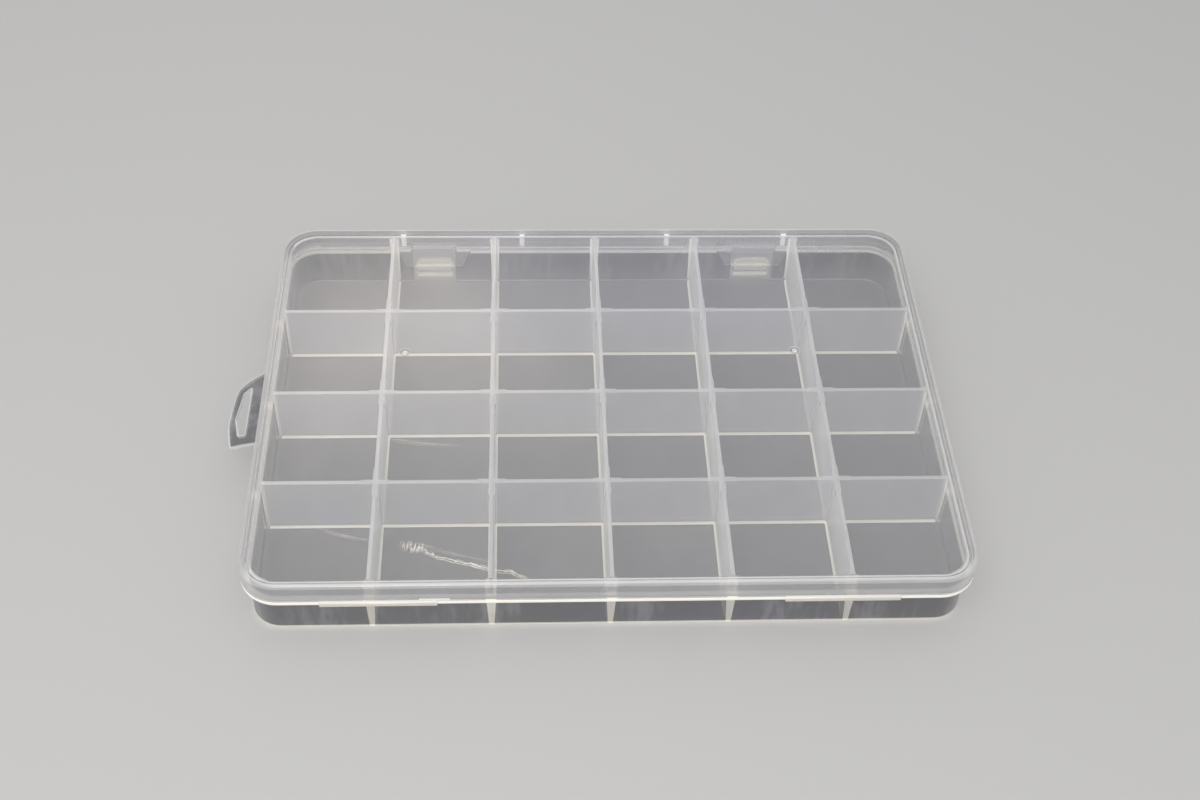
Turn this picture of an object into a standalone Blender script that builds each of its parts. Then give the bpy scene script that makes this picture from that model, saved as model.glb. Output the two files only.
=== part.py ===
"""Compartment storage box in clear plastic: a tray of fixed compartments, lid, latches and hang tab.

Lengths are in metres and angles in radians. The origin is at the centre of the tray's underside.
X runs along the box, Y from the hinge side to the latch side, Z is up, and the lid is closed.
"""
import math

import bmesh
import bpy
from mathutils import Matrix, Vector

# Driving sizes
LID_LENGTH = 0.1950
LID_DEPTH = 0.1432
BOX_HEIGHT = 0.0200
COLUMNS = 6
ROWS = 4

# Running gap between pieces that move or seat against each other
GAP = 0.0003
# How far a cutter runs past the faces that it cuts, and how far joined shapes reach into each other
OVERRUN = 0.0020
BITE = 0.0004
# Points nearer than this are one point
TOUCH = 0.000001

# Lid: a flat panel with a skirt
LID_PANEL = 0.0009
LID_CORNER_RADIUS = 0.0105
LID_EDGE_RADIUS = 0.0011
SKIRT_WALL = 0.0012
SKIRT_HEIGHT = 0.0060

# Ribs inside the lid's skirt on the latch side, which centre the lid on the tray. The inner pair is placed
# from the middle and the outer pair from the lid's ends
RIB_WIDTH = 0.0015
RIB_DEPTH = 0.0007
RIB_LIFT = 0.0002
RIB_INNER_X = 0.0230
RIB_END_INSET = 0.0371

# Tray: floor, wall, and the ledge that the skirt closes down to
TRAY_INSET = 0.0022
TRAY_WALL = 0.0010
TRAY_FLOOR = 0.0009
TRAY_FOOT_RADIUS = 0.0008
LEDGE_THICKNESS = 0.0013

# Dividers that lap into each other at half height
DIVIDER_THICKNESS = 0.0012

# Hinge strips along the front edge, where the skirt meets the ledge
HINGE_LENGTH = 0.0305
HINGE_END_INSET = 0.0367
HINGE_RADIUS = 0.0006

# Latches: a flexible strip under the skirt, and the flap that hangs from it, with grip pad, hook and lip
LATCH_END_INSET = 0.0464
LATCH_STRIP_HEIGHT = 0.0007
LATCH_STRIP_THICKNESS = 0.0005
LATCH_TOP_WIDTH = 0.0137
LATCH_LOW_WIDTH = 0.0113
LATCH_THICKNESS = 0.0009
LATCH_SETBACK = 0.0002
LATCH_FOOT_Z = 0.0009
PAD_WIDTH = 0.0126
PAD_TOP_WIDTH = 0.0094
PAD_LOW_WIDTH = 0.0079
PAD_TOP_Z = 0.0078
PAD_WIDE_Z = 0.0051
PAD_LOW_Z = 0.0037
PAD_STANDOUT = 0.0004
HOOK_WIDTH = 0.0106
HOOK_HEIGHT = 0.0020
LIP_HEIGHT = 0.0008
LIP_STANDOUT = 0.0003

# Keepers: trapezoid pads on the tray under the ledge, whose lower edge holds the hook
KEEPER_TOP_WIDTH = 0.0228
KEEPER_LOW_WIDTH = 0.0178
KEEPER_LOW_Z = 0.0062
KEEPER_STEP = 0.0001

# Hang tab on the left short side, which droops a little
TAB_REACH = 0.0098
TAB_HALF_LENGTH = 0.0148
TAB_THICKNESS = 0.0008
TAB_DROOP = math.radians(15)
# Outline and slot, each point as a share of the tab's reach and a share of its half length
TAB_OUTLINE_SHARES = [
    (0.00, 0.95), (0.13, 0.91), (0.34, 0.85), (0.52, 0.78), (0.69, 0.69), (0.83, 0.59), (0.90, 0.42),
    (0.96, 0.08), (1.00, -0.27), (1.00, -0.41), (0.94, -0.68), (0.88, -0.91), (0.84, -0.97), (0.78, -0.98),
    (0.49, -0.97), (0.00, -0.99),
]
TAB_SLOT_SHARES = [(0.43, 0.56), (0.63, 0.45), (0.78, -0.24), (0.64, -0.70), (0.44, -0.71)]

# Facets of round corners, small edges and round bars
CORNER_STEPS = 8
EDGE_STEPS = 3
BAR_SIDES = 16
# The bevel profile that makes an arc
ARC_PROFILE_SHARE = 0.5

# Places that follow from the sizes above
SKIRT_LOW_Z = BOX_HEIGHT - SKIRT_HEIGHT
PANEL_LOW_Z = BOX_HEIGHT - LID_PANEL
RIM_Z = PANEL_LOW_Z - GAP
LEDGE_TOP_Z = SKIRT_LOW_Z - GAP
LEDGE_LOW_Z = LEDGE_TOP_Z - LEDGE_THICKNESS
TRAY_HALF_X = LID_LENGTH / 2 - TRAY_INSET
TRAY_HALF_Y = LID_DEPTH / 2 - TRAY_INSET
TRAY_CORNER_RADIUS = LID_CORNER_RADIUS - TRAY_INSET
INNER_HALF_X = TRAY_HALF_X - TRAY_WALL
INNER_HALF_Y = TRAY_HALF_Y - TRAY_WALL
SKIRT_INNER_X = LID_LENGTH / 2 - SKIRT_WALL
SKIRT_INNER_Y = LID_DEPTH / 2 - SKIRT_WALL
COLUMN_PITCH = (2 * INNER_HALF_X + DIVIDER_THICKNESS) / COLUMNS
ROW_PITCH = (2 * INNER_HALF_Y + DIVIDER_THICKNESS) / ROWS
DIVIDER_LOW_Z = TRAY_FLOOR + GAP
LAP_Z = (DIVIDER_LOW_Z + RIM_Z) / 2
RIB_OUTER_X = LID_LENGTH / 2 - RIB_END_INSET
HINGE_X = LID_LENGTH / 2 - HINGE_END_INSET
HINGE_Y = -LID_DEPTH / 2 - GAP
HINGE_Z = (SKIRT_LOW_Z + LEDGE_TOP_Z) / 2
LATCH_X = LID_LENGTH / 2 - LATCH_END_INSET
FLAP_OUT_Y = LID_DEPTH / 2 - LATCH_SETBACK
FLAP_IN_Y = FLAP_OUT_Y - LATCH_THICKNESS
NOTCH_Y = FLAP_IN_Y - GAP
KEEPER_Y = NOTCH_Y - KEEPER_STEP
HOOK_IN_Y = TRAY_HALF_Y + GAP
HOOK_TOP_Z = KEEPER_LOW_Z - GAP
HOOK_LOW_Z = HOOK_TOP_Z - HOOK_HEIGHT
STRIP_TOP_Z = SKIRT_LOW_Z - GAP
STRIP_LOW_Z = STRIP_TOP_Z - LATCH_STRIP_HEIGHT
STRIP_IN_Y = FLAP_OUT_Y - LATCH_STRIP_THICKNESS
FLAP_TOP_Z = STRIP_LOW_Z - GAP
LATCH_AXIS_Y = (FLAP_OUT_Y + STRIP_IN_Y) / 2
LATCH_AXIS_Z = (STRIP_TOP_Z + STRIP_LOW_Z) / 2
TAB_ROOT_X = -LID_LENGTH / 2 - GAP - math.sin(TAB_DROOP) * TAB_THICKNESS / 2
TAB_ROOT_Z = (LEDGE_TOP_Z + LEDGE_LOW_Z) / 2

# Colour, roughness and alpha of each kind of moulding, all one plastic that looks milkier where it is thicker
SHELL_LOOK = ((0.78, 0.80, 0.83), 0.22, 0.45)
DIVIDER_LOOK = ((0.82, 0.83, 0.84), 0.28, 0.55)
LATCH_LOOK = ((0.86, 0.84, 0.77), 0.25, 0.80)
STRIP_LOOK = ((0.88, 0.87, 0.82), 0.25, 0.70)
TAB_LOOK = ((0.70, 0.70, 0.74), 0.22, 0.35)


def clear_scene():
    for obj in list(bpy.data.objects):
        bpy.data.objects.remove(obj, do_unlink=True)


def new_collection(name):
    collection = bpy.data.collections.new(name)
    bpy.context.scene.collection.children.link(collection)
    return collection


def plastic(name, look):
    """A clear moulding's material."""
    colour, roughness, alpha = look
    material = bpy.data.materials.new(name)
    material.use_nodes = True
    shader = material.node_tree.nodes["Principled BSDF"]
    shader.inputs["Base Color"].default_value = (*colour, 1.0)
    shader.inputs["Roughness"].default_value = roughness
    shader.inputs["Metallic"].default_value = 0.0
    shader.inputs["Alpha"].default_value = alpha
    return material


def add_part(name, mesh, look):
    mesh.materials.append(plastic(name + "_plastic", look))
    obj = bpy.data.objects.new(name, mesh)
    PARTS.objects.link(obj)
    return obj


def add_tool(name, mesh):
    """A hidden shape that is joined to a part or cut from it."""
    obj = bpy.data.objects.new(name, mesh)
    obj.hide_render = True
    obj.display_type = "WIRE"
    TOOLS.objects.link(obj)
    return obj


def combine(obj, operation, tool):
    modifier = obj.modifiers.new(operation.lower() + "_" + tool.name, "BOOLEAN")
    modifier.operation = operation
    modifier.solver = "EXACT"
    modifier.object = tool


def finish_mesh(bm, name):
    bmesh.ops.recalc_face_normals(bm, faces=bm.faces)
    mesh = bpy.data.meshes.new(name)
    bm.to_mesh(mesh)
    bm.free()
    return mesh


def box_bmesh(x_span, y_span, z_span):
    """A box between two places along each axis."""
    bm = bmesh.new()
    bmesh.ops.create_cube(bm, size=1)
    low = Vector((x_span[0], y_span[0], z_span[0]))
    high = Vector((x_span[1], y_span[1], z_span[1]))
    bmesh.ops.scale(bm, vec=high - low, verts=bm.verts)
    bmesh.ops.translate(bm, vec=(low + high) / 2, verts=bm.verts)
    return bm


def box(name, x_span, y_span, z_span):
    return finish_mesh(box_bmesh(x_span, y_span, z_span), name)


def bevel(bm, edges, radius, steps):
    bmesh.ops.bevel(
        bm, geom=edges, offset=radius, segments=steps, profile=ARC_PROFILE_SHARE, affect="EDGES"
    )


def level_edges(bm, z):
    return [edge for edge in bm.edges if all(abs(vert.co.z - z) < TOUCH for vert in edge.verts)]


def round_box(name, half_x, half_y, z_span, radius, foot_radius=0, crown_radius=0):
    """A box with round upright corners, and if asked a rounded edge round its foot or its crown."""
    bm = box_bmesh((-half_x, half_x), (-half_y, half_y), z_span)
    upright = [edge for edge in bm.edges if abs(edge.verts[0].co.z - edge.verts[1].co.z) > TOUCH]
    bevel(bm, upright, radius, CORNER_STEPS)
    if foot_radius:
        bevel(bm, level_edges(bm, z_span[0]), foot_radius, EDGE_STEPS)
    if crown_radius:
        bevel(bm, level_edges(bm, z_span[1]), crown_radius, EDGE_STEPS)
    return finish_mesh(bm, name)


def bar_along_x(name, x_span, y, z, radius):
    """A round bar between two places along X."""
    bm = bmesh.new()
    length = x_span[1] - x_span[0]
    bmesh.ops.create_cone(bm, cap_ends=True, segments=BAR_SIDES, radius1=radius, radius2=radius, depth=length)
    bmesh.ops.rotate(bm, matrix=Matrix.Rotation(math.pi / 2, 3, "Y"), verts=bm.verts)
    bmesh.ops.translate(bm, vec=Vector(((x_span[0] + x_span[1]) / 2, y, z)), verts=bm.verts)
    return finish_mesh(bm, name)


def plate(name, outlines, thickness):
    """A flat plate about the XY plane: the first outline is its edge, the others are holes through it."""
    curve = bpy.data.curves.new(name, "CURVE")
    curve.dimensions = "2D"
    curve.fill_mode = "BOTH"
    curve.extrude = thickness / 2
    for outline in outlines:
        spline = curve.splines.new("POLY")
        spline.points.add(len(outline) - 1)
        for point, (x, y) in zip(spline.points, outline):
            point.co = (x, y, 0, 1)
        spline.use_cyclic_u = True
    guide = bpy.data.objects.new(name, curve)
    TOOLS.objects.link(guide)
    evaluated = guide.evaluated_get(bpy.context.evaluated_depsgraph_get())
    mesh = bpy.data.meshes.new_from_object(evaluated)
    bpy.data.objects.remove(guide, do_unlink=True)
    bm = bmesh.new()
    bm.from_mesh(mesh)
    bpy.data.meshes.remove(mesh)
    bmesh.ops.remove_doubles(bm, verts=bm.verts, dist=TOUCH)
    return finish_mesh(bm, name)


def upright_plate(name, outline, y_span, x_middle):
    """A plate whose outline is drawn in X and Z, from one place along Y to another."""
    mesh = plate(name, [outline], y_span[1] - y_span[0])
    mesh.transform(Matrix.Rotation(math.pi / 2, 4, "X"))
    mesh.transform(Matrix.Translation((x_middle, (y_span[0] + y_span[1]) / 2, 0)))
    return mesh


def trapezoid(top_width, top_z, low_width, low_z):
    return [(-low_width / 2, low_z), (low_width / 2, low_z), (top_width / 2, top_z), (-top_width / 2, top_z)]


def centred_span(middle, width):
    return (middle - width / 2, middle + width / 2)


def axis_empty(name, place, parent=None):
    """An empty on a joint's axis, which carries the pieces that turn about it."""
    empty = bpy.data.objects.new(name, None)
    empty.location = Vector(place) - (parent.location if parent else Vector())
    empty.parent = parent
    PARTS.objects.link(empty)
    return empty


def carry(empty, obj, place):
    """Hangs a part on a joint's empty without moving it."""
    obj.data.transform(Matrix.Translation(-Vector(place)))
    obj.parent = empty


def sides(reach):
    """The left and the right place of a pair."""
    return (("left", -reach), ("right", reach))


def hinge_span(x_middle, clearance=0):
    return centred_span(x_middle, HINGE_LENGTH + 2 * clearance)


def hinge_reliefs():
    """Grooves that leave the hinge strips room in the skirt and in the ledge."""
    reliefs = []
    for side, x_middle in sides(HINGE_X):
        name = "hinge_relief_" + side
        mesh = bar_along_x(name, hinge_span(x_middle, GAP), HINGE_Y, HINGE_Z, HINGE_RADIUS + GAP)
        reliefs.append(add_tool(name, mesh))
    return reliefs


def add_tray(reliefs):
    """Floor and wall, the ledge all round, the keepers, and the notches that the latches hang through."""
    mesh = round_box(
        "base_tray", TRAY_HALF_X, TRAY_HALF_Y, (0, RIM_Z), TRAY_CORNER_RADIUS, foot_radius=TRAY_FOOT_RADIUS
    )
    tray = add_part("base_tray", mesh, SHELL_LOOK)
    ledge_span = (LEDGE_LOW_Z, LEDGE_TOP_Z)
    ledge = round_box("ledge", LID_LENGTH / 2, LID_DEPTH / 2, ledge_span, LID_CORNER_RADIUS)
    combine(tray, "UNION", add_tool("ledge", ledge))
    for side, x_middle in sides(LATCH_X):
        notch_width = LATCH_TOP_WIDTH + 2 * GAP
        notch = box(
            "latch_notch_" + side,
            centred_span(x_middle, notch_width),
            (NOTCH_Y, LID_DEPTH / 2 + OVERRUN),
            (LEDGE_LOW_Z - OVERRUN, LEDGE_TOP_Z + OVERRUN),
        )
        combine(tray, "DIFFERENCE", add_tool("latch_notch_" + side, notch))
        outline = trapezoid(KEEPER_TOP_WIDTH, LEDGE_LOW_Z + BITE, KEEPER_LOW_WIDTH, KEEPER_LOW_Z)
        keeper = upright_plate("keeper_" + side, outline, (TRAY_HALF_Y - BITE, KEEPER_Y), x_middle)
        combine(tray, "UNION", add_tool("keeper_" + side, keeper))
    hollow_span = (TRAY_FLOOR, RIM_Z + OVERRUN)
    inner_radius = TRAY_CORNER_RADIUS - TRAY_WALL
    hollow = round_box("tray_hollow", INNER_HALF_X, INNER_HALF_Y, hollow_span, inner_radius)
    combine(tray, "DIFFERENCE", add_tool("tray_hollow", hollow))
    for relief in reliefs:
        combine(tray, "DIFFERENCE", relief)


def divider_places(count, pitch):
    """Where the dividers between this many cells stand, from the low end to the high end."""
    return [(number - count / 2) * pitch for number in range(1, count)]


def add_dividers():
    """Column strips are notched from above and row strips from below, so that they lap at each crossing."""
    slot_width = DIVIDER_THICKNESS + 2 * GAP
    columns = divider_places(COLUMNS, COLUMN_PITCH)
    rows = divider_places(ROWS, ROW_PITCH)
    half_x = INNER_HALF_X - GAP
    half_y = INNER_HALF_Y - GAP
    full_x = (-LID_LENGTH / 2, LID_LENGTH / 2)
    full_y = (-LID_DEPTH / 2, LID_DEPTH / 2)
    row_slots = []
    for number, y in enumerate(rows, 1):
        name = "row_slot_" + str(number)
        mesh = box(name, full_x, centred_span(y, slot_width), (LAP_Z, RIM_Z + OVERRUN))
        row_slots.append(add_tool(name, mesh))
    column_slots = []
    for number, x in enumerate(columns, 1):
        name = "column_slot_" + str(number)
        mesh = box(name, centred_span(x, slot_width), full_y, (DIVIDER_LOW_Z - OVERRUN, LAP_Z + GAP))
        column_slots.append(add_tool(name, mesh))
    for number, x in enumerate(columns, 1):
        name = "column_divider_" + str(number)
        mesh = box(name, centred_span(x, DIVIDER_THICKNESS), (-half_y, half_y), (DIVIDER_LOW_Z, RIM_Z))
        strip = add_part(name, mesh, DIVIDER_LOOK)
        for slot in row_slots:
            combine(strip, "DIFFERENCE", slot)
    for number, y in enumerate(rows, 1):
        name = "row_divider_" + str(number)
        mesh = box(name, (-half_x, half_x), centred_span(y, DIVIDER_THICKNESS), (DIVIDER_LOW_Z, RIM_Z))
        strip = add_part(name, mesh, DIVIDER_LOOK)
        for slot in column_slots:
            combine(strip, "DIFFERENCE", slot)


def add_hang_tab():
    """A thin drooping tab with a gabled slot, which hangs the box on a peg."""
    outlines = []
    for shares in (TAB_OUTLINE_SHARES, TAB_SLOT_SHARES):
        outlines.append([(-reach * TAB_REACH, along * TAB_HALF_LENGTH) for reach, along in shares])
    mesh = plate("hang_tab", outlines, TAB_THICKNESS)
    tab = add_part("hang_tab", mesh, TAB_LOOK)
    tab.rotation_euler = (0, -TAB_DROOP, 0)
    tab.location = (TAB_ROOT_X, 0, TAB_ROOT_Z)


def add_lid(axis, place, reliefs):
    """A flat panel and its skirt, with four centring ribs on the latch side."""
    skirt_span = (SKIRT_LOW_Z, BOX_HEIGHT)
    outside = round_box(
        "lid", LID_LENGTH / 2, LID_DEPTH / 2, skirt_span, LID_CORNER_RADIUS, crown_radius=LID_EDGE_RADIUS
    )
    lid = add_part("lid", outside, SHELL_LOOK)
    hollow_span = (SKIRT_LOW_Z - OVERRUN, PANEL_LOW_Z)
    inner_radius = LID_CORNER_RADIUS - SKIRT_WALL
    hollow = round_box("lid_hollow", SKIRT_INNER_X, SKIRT_INNER_Y, hollow_span, inner_radius)
    combine(lid, "DIFFERENCE", add_tool("lid_hollow", hollow))
    for pair, reach in (("inner", RIB_INNER_X), ("outer", RIB_OUTER_X)):
        for side, x_middle in sides(reach):
            name = "_".join(("rib", pair, side))
            mesh = box(
                name,
                centred_span(x_middle, RIB_WIDTH),
                (SKIRT_INNER_Y - RIB_DEPTH, SKIRT_INNER_Y + BITE),
                (SKIRT_LOW_Z + RIB_LIFT, PANEL_LOW_Z + BITE),
            )
            combine(lid, "UNION", add_tool(name, mesh))
    for relief in reliefs:
        combine(lid, "DIFFERENCE", relief)
    carry(axis, lid, place)


def add_hinge_strips(axis, place):
    """Flexible strips that join the skirt to the ledge, modelled as slim round bars on the lid's axis."""
    for side, x_middle in sides(HINGE_X):
        name = "hinge_strip_" + side
        mesh = bar_along_x(name, hinge_span(x_middle), HINGE_Y, HINGE_Z, HINGE_RADIUS)
        carry(axis, add_part(name, mesh, STRIP_LOOK), place)


def add_latch_strip(side, x_middle, lid_axis, lid_place):
    """The thin flexible strip on a latch's axis, between the skirt and the flap."""
    name = "latch_strip_" + side
    thickness_span = (STRIP_IN_Y, FLAP_OUT_Y)
    mesh = box(name, centred_span(x_middle, LATCH_TOP_WIDTH), thickness_span, (STRIP_LOW_Z, STRIP_TOP_Z))
    carry(lid_axis, add_part(name, mesh, STRIP_LOOK), lid_place)


def add_latch(side, x_middle, lid_axis):
    """A flap in the ledge's notch, with a grip pad outside, a hook under the keeper and a lip at its foot."""
    name = "latch_" + side
    flap_outline = trapezoid(LATCH_TOP_WIDTH, FLAP_TOP_Z, LATCH_LOW_WIDTH, LATCH_FOOT_Z)
    flap = upright_plate(name, flap_outline, (FLAP_IN_Y, FLAP_OUT_Y), x_middle)
    latch = add_part(name, flap, LATCH_LOOK)
    pad_outline = [
        (-PAD_WIDTH / 2, PAD_WIDE_Z), (-PAD_LOW_WIDTH / 2, PAD_LOW_Z), (PAD_LOW_WIDTH / 2, PAD_LOW_Z),
        (PAD_WIDTH / 2, PAD_WIDE_Z), (PAD_TOP_WIDTH / 2, PAD_TOP_Z), (-PAD_TOP_WIDTH / 2, PAD_TOP_Z),
    ]
    pad = upright_plate("pad_" + side, pad_outline, (FLAP_OUT_Y - BITE, FLAP_OUT_Y + PAD_STANDOUT), x_middle)
    combine(latch, "UNION", add_tool("pad_" + side, pad))
    hook_span = (HOOK_IN_Y, FLAP_IN_Y + BITE)
    hook = box("hook_" + side, centred_span(x_middle, HOOK_WIDTH), hook_span, (HOOK_LOW_Z, HOOK_TOP_Z))
    combine(latch, "UNION", add_tool("hook_" + side, hook))
    lip_span = (FLAP_OUT_Y - BITE, FLAP_OUT_Y + LIP_STANDOUT)
    lip_width = LATCH_LOW_WIDTH - BITE
    lip = box(
        "lip_" + side,
        centred_span(x_middle, lip_width),
        lip_span,
        (LATCH_FOOT_Z + TOUCH, LATCH_FOOT_Z + LIP_HEIGHT),
    )
    combine(latch, "UNION", add_tool("lip_" + side, lip))
    place = (x_middle, LATCH_AXIS_Y, LATCH_AXIS_Z)
    carry(axis_empty(name + "_axis", place, lid_axis), latch, place)


def build_box():
    reliefs = hinge_reliefs()
    add_tray(reliefs)
    add_dividers()
    add_hang_tab()
    lid_place = (0, HINGE_Y, HINGE_Z)
    lid_axis = axis_empty("lid_axis", lid_place)
    add_lid(lid_axis, lid_place, reliefs)
    add_hinge_strips(lid_axis, lid_place)
    for side, x_middle in sides(LATCH_X):
        add_latch_strip(side, x_middle, lid_axis, lid_place)
        add_latch(side, x_middle, lid_axis)


clear_scene()
PARTS = new_collection("compartment storage box")
TOOLS = new_collection("cutters and joiners")
build_box()
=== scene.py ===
"""Compartment storage box in clear plastic: tray with moulded-in dividers, hinged lid, latches and hang tab.

Lengths are in metres. X runs along the box, Y from the hinge side to the latch side and Z up, the origin is
at the centre of the tray's underside, and the lid is closed.
"""
import math

import bmesh
import bpy
from bpy.props import FloatProperty, FloatVectorProperty, IntProperty, PointerProperty
from bpy.types import Operator, Panel, PropertyGroup
from mathutils import Matrix, Vector


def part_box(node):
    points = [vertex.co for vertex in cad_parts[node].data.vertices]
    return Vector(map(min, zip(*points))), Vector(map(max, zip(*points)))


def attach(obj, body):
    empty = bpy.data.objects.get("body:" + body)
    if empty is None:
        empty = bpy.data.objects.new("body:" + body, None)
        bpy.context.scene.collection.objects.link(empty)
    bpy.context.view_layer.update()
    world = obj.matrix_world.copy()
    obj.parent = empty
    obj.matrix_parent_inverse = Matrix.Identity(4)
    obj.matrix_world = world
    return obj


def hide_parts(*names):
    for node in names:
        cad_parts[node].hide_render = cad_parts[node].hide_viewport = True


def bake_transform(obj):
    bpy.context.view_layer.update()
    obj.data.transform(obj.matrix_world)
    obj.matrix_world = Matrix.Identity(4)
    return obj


bl_info = {
    "name": "Compartment Storage Box",
    "version": (1, 0, 0),
    "blender": (4, 5, 0),
    "location": "3D View > Sidebar > Storage Box",
    "description": "Models a clear box of fixed compartments with its lid, latches, hang tab and studio",
    "category": "Add Mesh",
}

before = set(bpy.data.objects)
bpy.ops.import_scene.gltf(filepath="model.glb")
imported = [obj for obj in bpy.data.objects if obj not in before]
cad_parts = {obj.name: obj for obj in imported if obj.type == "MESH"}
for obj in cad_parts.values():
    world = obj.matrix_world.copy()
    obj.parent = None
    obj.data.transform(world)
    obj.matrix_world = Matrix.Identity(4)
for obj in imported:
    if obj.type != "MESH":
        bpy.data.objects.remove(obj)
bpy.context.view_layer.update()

COLUMN_DIVIDERS = ["column_divider_" + str(number) for number in range(1, 6)]
ROW_DIVIDERS = ["row_divider_" + str(number) for number in range(1, 4)]
SIDES = ("left", "right")

# Points nearer than this are one point
NEAR = 0.00001
# How far a cutter runs past what it cuts, and how far joined shapes reach into each other
OVERRUN = 0.0020
BITE = 0.0003
# Bevels along fine and less fine edges
FINE_EDGE = 0.0001
SOFT_EDGE = 0.0002
# Below this height thick places look creamy
CREAM_HIGH = 0.016
# Haze of the tray's wall where a divider runs in, above the ledge, at the far right, at its rim and foot
ROOT_HAZE, UPPER_HAZE, FAR_HAZE, BRIM_HAZE, FOOT_HAZE = 0.30, 0.10, 0.06, 0.28, 0.60
BRIM_HEIGHT = 0.0016
# Along X from a latch's middle: the keeper's edge, where the ledge's lines stop and where the wall clears
KEEPER_REACH, LINES_REACH, WINDOW_REACH = 0.0115, 0.0074, 0.0072
# Half the width of the ledge's lines, where they begin and where they are full
LINE_EDGE, LINE_CORE = 0.00062, 0.00030

LID_LOW, LID_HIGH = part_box("lid")
TRAY_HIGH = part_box("base_tray")[1]


def length(name, description, default):
    return FloatProperty(
        name=name, description=description, default=default, min=0.0, unit="LENGTH", precision=5
    )


def share(name, description, default):
    return FloatProperty(
        name=name, description=description, default=default, min=0.0, max=1.0, subtype="FACTOR"
    )


def colour(name, description, default):
    return FloatVectorProperty(
        name=name, description=description, default=default, min=0.0, max=1.0, size=3, subtype="COLOR"
    )


def power(name, description, default):
    return FloatProperty(name=name, description=description, default=default, min=0.0, unit="POWER")


class StorageBoxSizes(PropertyGroup):
    """Sizes of the mouldings."""

    corner_radius: length("Corner Radius", "Upright corners of the lid and the ledge", 0.0105)
    crown_radius: length("Crown Radius", "Rounded edge round the top of the lid", 0.0011)
    lid_panel: length("Lid Panel", "Thickness of the lid's flat panel", 0.0009)
    skirt_wall: length("Skirt Wall", "Thickness of the lid's skirt", 0.0012)
    tray_inset: length("Tray Inset", "How far the tray's wall stands in from the lid's outline", 0.0022)
    tray_wall: length("Tray Wall", "Thickness of the tray's wall", 0.0010)
    tray_floor: length("Tray Floor", "Thickness of the tray's floor", 0.0009)
    foot_radius: length("Foot Radius", "Rounded edge round the tray's underside", 0.0005)
    ledge: length("Ledge", "Thickness of the ledge that the skirt closes down to", 0.0013)
    ledge_gap: length("Ledge Gap", "Gap between the skirt and the ledge", 0.0003)
    cell_corner: length("Cell Corner", "Fillet in the upright corners of the cells", 0.0007)
    cell_foot: length("Cell Foot", "Fillet between the cells' walls and floor", 0.0006)
    top_chamfer: length("Top Chamfer", "Small bevel along the dividers' top edges", 0.00015)
    pad_reach_x: length("Pad Reach X", "Half length of a crossing pad along a row divider", 0.00385)
    pad_reach_y: length("Pad Reach Y", "Half length of a crossing pad along a column divider", 0.0050)
    pad_step: length("Pad Step", "How far a crossing pad stands out of the dividers", 0.00022)
    pad_depth: length("Pad Depth", "How far a crossing pad reaches down", 0.0023)
    web: length("Web", "Thickness of the folded hinge webs", 0.00035)
    web_rise: length("Web Rise", "Half height of the folded hinge webs", 0.00095)
    web_drop: length("Web Drop", "How far the folded hinge webs hang below the lid's axis", 0.00070)


class StorageBoxLook(PropertyGroup):
    """Colours of the plastic, thin and thick."""

    panel_colour: colour("Panel Colour", "Thin clear walls", (0.31, 0.313, 0.335))
    cream_colour: colour("Cream Colour", "Thick edges low in the box, which look creamy", (0.95, 0.92, 0.84))
    wall_colour: colour("Divider Colour", "Dividers, which look milkier", (0.86, 0.865, 0.90))
    milky_colour: colour("Milky Colour", "Thick edges, where the plastic turns milky", (0.93, 0.93, 0.925))
    panel_alpha: share("Panel Alpha", "Opacity of each face of a thin wall", 0.16)
    wall_shade: share("Wall Shade", "Share of a clear face's opacity that its shadow has", 0.18)
    milky_alpha: share("Milky Alpha", "Opacity of a thick edge", 0.92)
    # Painted shade: the colour that faces darken towards where little light falls on them
    painted_shade_colour: colour("Dark Colour", "Walls against which little light falls", (0.05, 0.05, 0.056))
    roughness: share("Roughness", "Roughness of the moulded surface", 0.28)


class StorageBoxStage(PropertyGroup):
    """Floor, light and camera."""

    floor_colour: colour("Floor Colour", "The plain floor", (0.57, 0.57, 0.57))
    world_strength: FloatProperty(
        name="World", description="Strength of the soft surround", default=0.55, min=0.0
    )
    key_power: power("Key", "Power of the large soft lamp", 7.0)
    glow_power: power("Glow", "Power of the lamps that show as soft reflections", 2.6)
    lens: FloatProperty(name="Lens", description="Focal length", default=50.874, min=1.0, unit="CAMERA")
    clear_layers: IntProperty(
        name="Clear Layers", description="How many clear faces a ray may pass", default=32, min=8
    )


def deselect():
    if bpy.context.mode != "OBJECT":
        bpy.ops.object.mode_set(mode="OBJECT")
    bpy.ops.object.select_all(action="DESELECT")


def make_active(piece):
    deselect()
    piece.select_set(True)
    bpy.context.view_layer.objects.active = piece


def apply_place(piece):
    """Puts the piece's place, turn and size into its mesh."""
    make_active(piece)
    bpy.ops.object.transform_apply(location=True, rotation=True, scale=True)
    return piece


def added(name):
    """The primitive that was just added, named, with its place in its mesh."""
    piece = bpy.context.active_object
    piece.name = piece.data.name = name
    return apply_place(piece)


def block(name, low, high):
    """A block between two corners."""
    deselect()
    low, high = Vector(low), Vector(high)
    bpy.ops.mesh.primitive_cube_add(size=1, location=(low + high) / 2, scale=high - low)
    return added(name)


def bar(name, middle, width, y_span, z_span):
    """A block given by its middle and width along X and its spans along Y and Z."""
    return block(name, *zip((middle - width / 2, middle + width / 2), y_span, z_span))


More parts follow.
